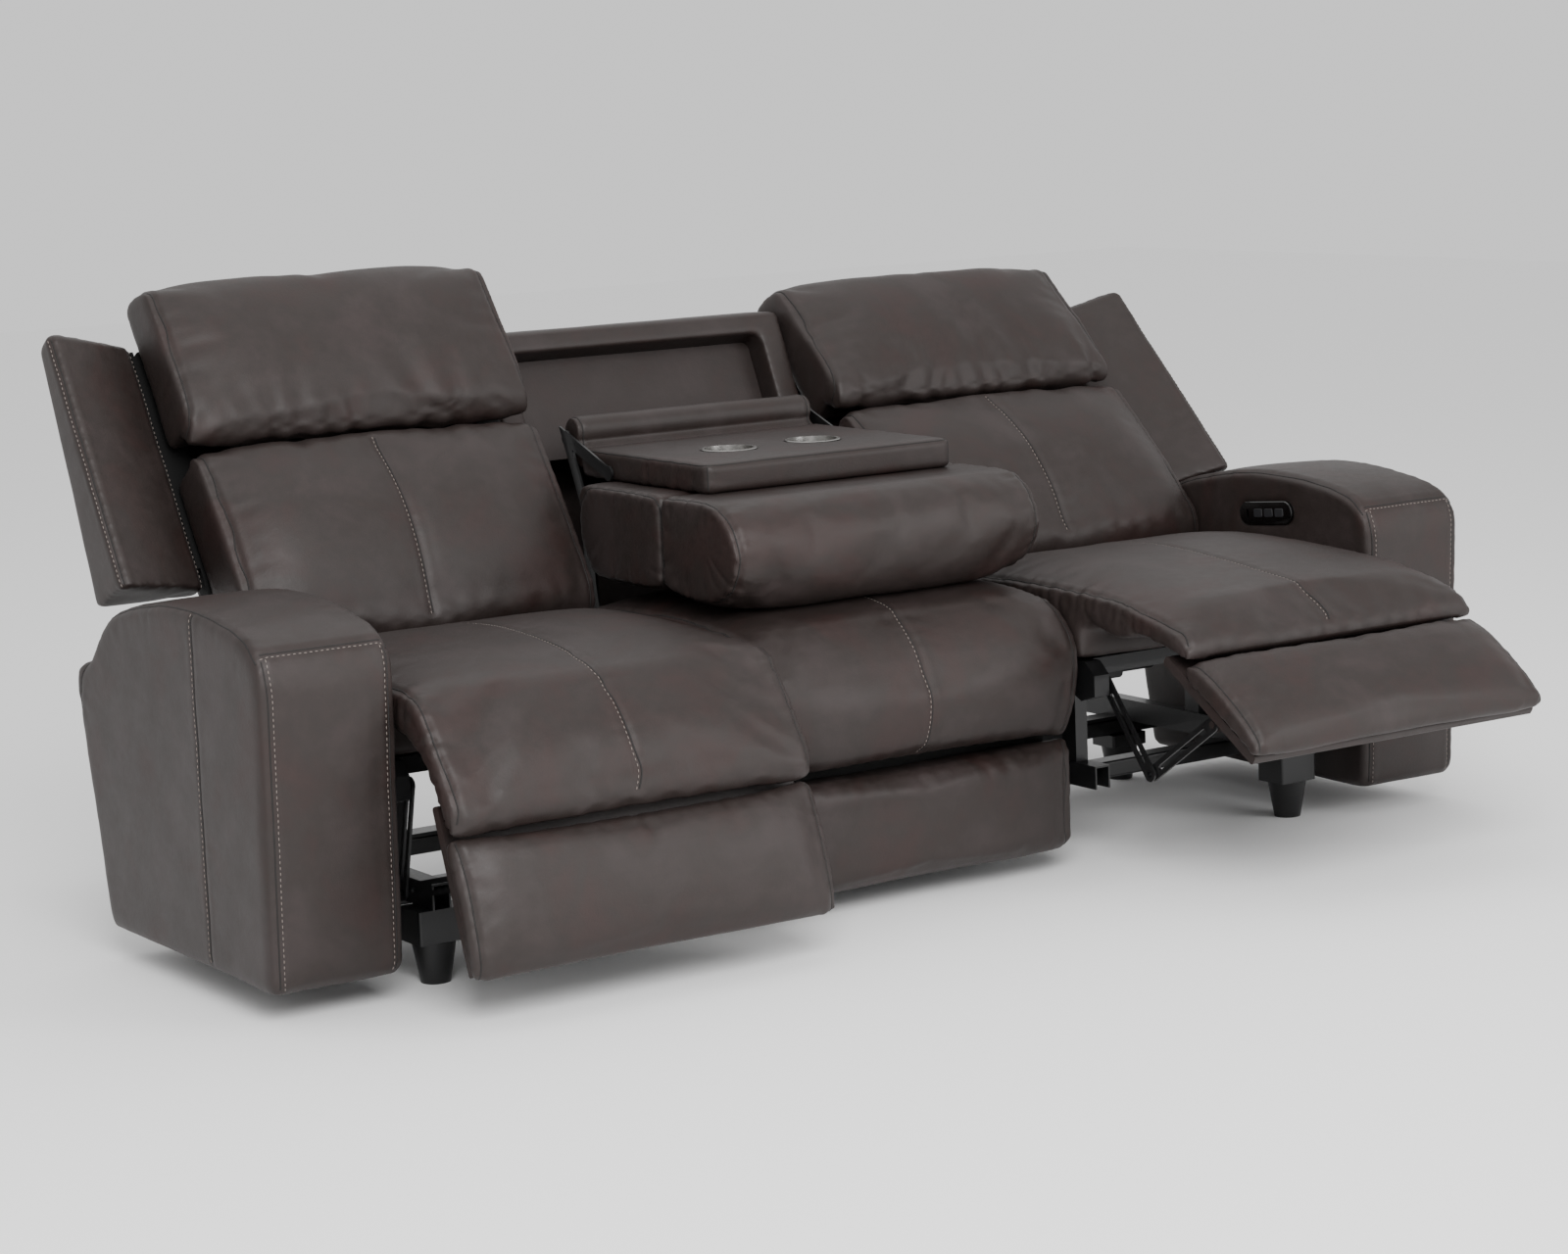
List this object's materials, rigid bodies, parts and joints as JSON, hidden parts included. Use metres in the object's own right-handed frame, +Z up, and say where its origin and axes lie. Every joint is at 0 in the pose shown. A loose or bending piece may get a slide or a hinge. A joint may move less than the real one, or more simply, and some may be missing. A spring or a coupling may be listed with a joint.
{
  "type": "reclining sofa",
  "caption": "Leather reclining sofa with padded arms, tilting headrests, chaise footrests and a middle back that folds down into a console table with cup holders",
  "frame": {"origin": "Centre of the footprint of the whole sofa, on the floor", "axes": "+X to the right as seen by someone standing in front, +Y to the back, +Z up"},
  "size_m": [2.24, 1.3598, 0.9919],
  "materials": {
    "leather": "soft pull-up leather, taupe brown, low sheen",
    "black_steel": "satin black paint",
    "spring_steel": "drawn wire",
    "cup_steel": "brushed steel",
    "wood": "raw plywood",
    "panel_plastic": "glossy black",
    "button_plastic": "matt black",
    "drive_plastic": "moulded black",
    "foot_plastic": "moulded black",
    "lining_fabric": "dark lining cloth"
  },
  "bodies": {
    "base": {"arm_cover_left": "leather", "arm_cover_right": "leather", "arm_frame_left": "wood", "arm_frame_right": "wood", "control_panel_left": "panel_plastic", "control_panel_right": "panel_plastic", "slide_base_left": "black_steel", "slide_base_right": "black_steel", "front_rail": "black_steel", "rear_rail": "black_steel", "feet": "foot_plastic", "middle_deck": "wood", "middle_cushion": "leather", "middle_front_panel": "leather", "middle_surround": "leather", "recess_lining": "lining_fabric", "middle_rear_cover": "leather", "hinge_brackets": "black_steel"},
    "carriage_left": {"seat_frame_left": "black_steel", "seat_springs_left": "spring_steel", "seat_cushion_left": "leather", "drive_unit_left": "drive_plastic"},
    "back_left": {"back_frame_left": "black_steel", "back_cushion_left": "leather", "wing_left": "leather", "back_cover_left": "leather"},
    "headrest_left": {"headrest_cushion_left": "leather", "headrest_bracket_left": "black_steel"},
    "flap_left": {"chaise_flap_left": "leather"},
    "footrest_left": {"footrest_board_left": "leather", "footrest_pad_left": "leather"},
    "rear_links_left": {"link_rear_left": "black_steel"},
    "front_links_left": {"link_front_left": "black_steel"},
    "carriage_right": {"seat_frame_right": "black_steel", "seat_springs_right": "spring_steel", "seat_cushion_right": "leather", "drive_unit_right": "drive_plastic"},
    "back_right": {"back_frame_right": "black_steel", "back_cushion_right": "leather", "wing_right": "leather", "back_cover_right": "leather"},
    "headrest_right": {"headrest_cushion_right": "leather", "headrest_bracket_right": "black_steel"},
    "flap_right": {"chaise_flap_right": "leather"},
    "footrest_right": {"footrest_board_right": "leather", "footrest_pad_right": "leather"},
    "rear_links_right": {"link_rear_right": "black_steel"},
    "front_links_right": {"link_front_right": "black_steel"},
    "console": {"table_board": "leather", "cup_holders": "cup_steel", "console_cushion": "leather", "console_head_roll": "leather", "console_end_roll": "leather", "hinge_arms": "black_steel"},
    "button_left_1": {"button_left_1": "button_plastic"},
    "button_left_2": {"button_left_2": "button_plastic"},
    "button_left_3": {"button_left_3": "button_plastic"},
    "button_right_1": {"button_right_1": "button_plastic"},
    "button_right_2": {"button_right_2": "button_plastic"},
    "button_right_3": {"button_right_3": "button_plastic"}
  },
  "joints": [
    {"name": "seat_slide_left", "type": "slide", "parent": "base", "child": "carriage_left", "axis": [0, -1, 0], "range_m": [-0.04325, 0.09725]},
    {"name": "recline_left", "type": "hinge", "parent": "carriage_left", "child": "back_left", "pos_m": [0, 0.23002, 0.345], "axis": [-1, 0, 0], "range_deg": [-8, 18]},
    {"name": "headrest_tilt_left", "type": "hinge", "parent": "back_left", "child": "headrest_left", "pos_m": [0, 0.41972, 0.73351], "axis": [1, 0, 0], "range_deg": [0, 30]},
    {"name": "footrest_swing_left", "type": "hinge", "parent": "carriage_left", "child": "flap_left", "pos_m": [0, -0.27198, 0.39], "axis": [-1, 0, 0], "range_deg": [-23.4, 68]},
    {"name": "footrest_unfold_left", "type": "hinge", "parent": "flap_left", "child": "footrest_left", "pos_m": [0, -0.38079, 0.25754], "axis": [-1, 0, 0], "range_deg": [-2.39, 6.85]},
    {"name": "rear_link_swing_left", "type": "hinge", "parent": "carriage_left", "child": "rear_links_left", "pos_m": [0, -0.18998, 0.3], "axis": [-1, 0, 0], "range_deg": [-31.64, 91.85]},
    {"name": "front_link_swing_left", "type": "hinge", "parent": "footrest_left", "child": "front_links_left", "pos_m": [0, -0.31964, 0.17994], "axis": [-1, 0, 0], "range_deg": [-46.29, 15.96]},
    {"name": "seat_slide_right", "type": "slide", "parent": "base", "child": "carriage_right", "axis": [0, -1, 0], "range_m": [-0.11075, 0.02975]},
    {"name": "recline_right", "type": "hinge", "parent": "carriage_right", "child": "back_right", "pos_m": [0, 0.16252, 0.345], "axis": [-1, 0, 0], "range_deg": [-20.5, 5.5]},
    {"name": "headrest_tilt_right", "type": "hinge", "parent": "back_right", "child": "headrest_right", "pos_m": [0, 0.43182, 0.68324], "axis": [1, 0, 0], "range_deg": [0, 30]},
    {"name": "footrest_swing_right", "type": "hinge", "parent": "carriage_right", "child": "flap_right", "pos_m": [0, -0.33948, 0.39], "axis": [-1, 0, 0], "range_deg": [-65.1, 26.3]},
    {"name": "footrest_unfold_right", "type": "hinge", "parent": "flap_right", "child": "footrest_right", "pos_m": [0, -0.50884, 0.36348], "axis": [-1, 0, 0], "range_deg": [-6.56, 2.68]},
    {"name": "rear_link_swing_right", "type": "hinge", "parent": "carriage_right", "child": "rear_links_right", "pos_m": [0, -0.25748, 0.3], "axis": [-1, 0, 0], "range_deg": [-87.94, 35.55]},
    {"name": "front_link_swing_right", "type": "hinge", "parent": "footrest_right", "child": "front_links_right", "pos_m": [0, -0.5067, 0.26471], "axis": [-1, 0, 0], "range_deg": [-17.93, 44.32]},
    {"name": "console_fold", "type": "hinge", "parent": "base", "child": "console", "pos_m": [0, 0.32102, 0.55], "axis": [-1, 0, 0], "range_deg": [0, 114]},
    {"name": "press_left_1", "type": "slide", "parent": "base", "child": "button_left_1", "axis": [-1, 0, 0], "range_m": [0, 0.0018], "stiffness_N_per_m": 400, "springref_m": -0.0015},
    {"name": "press_left_2", "type": "slide", "parent": "base", "child": "button_left_2", "axis": [-1, 0, 0], "range_m": [0, 0.0018], "stiffness_N_per_m": 400, "springref_m": -0.0015},
    {"name": "press_left_3", "type": "slide", "parent": "base", "child": "button_left_3", "axis": [-1, 0, 0], "range_m": [0, 0.0018], "stiffness_N_per_m": 400, "springref_m": -0.0015},
    {"name": "press_right_1", "type": "slide", "parent": "base", "child": "button_right_1", "axis": [1, 0, 0], "range_m": [0, 0.0018], "stiffness_N_per_m": 400, "springref_m": -0.0015},
    {"name": "press_right_2", "type": "slide", "parent": "base", "child": "button_right_2", "axis": [1, 0, 0], "range_m": [0, 0.0018], "stiffness_N_per_m": 400, "springref_m": -0.0015},
    {"name": "press_right_3", "type": "slide", "parent": "base", "child": "button_right_3", "axis": [1, 0, 0], "range_m": [0, 0.0018], "stiffness_N_per_m": 400, "springref_m": -0.0015}
  ],
  "couplings": [
    {"joint": "seat_slide_left", "follows": "recline_left", "m_per_rad": 0.3094},
    {"joint": "footrest_unfold_left", "follows": "footrest_swing_left", "ratio": 0.1},
    {"joint": "rear_link_swing_left", "follows": "footrest_swing_left", "ratio": 1.35},
    {"joint": "front_link_swing_left", "follows": "footrest_swing_left", "ratio": -0.68},
    {"joint": "seat_slide_right", "follows": "recline_right", "m_per_rad": 0.3094},
    {"joint": "footrest_unfold_right", "follows": "footrest_swing_right", "ratio": 0.1},
    {"joint": "rear_link_swing_right", "follows": "footrest_swing_right", "ratio": 1.35},
    {"joint": "front_link_swing_right", "follows": "footrest_swing_right", "ratio": -0.68}
  ]
}
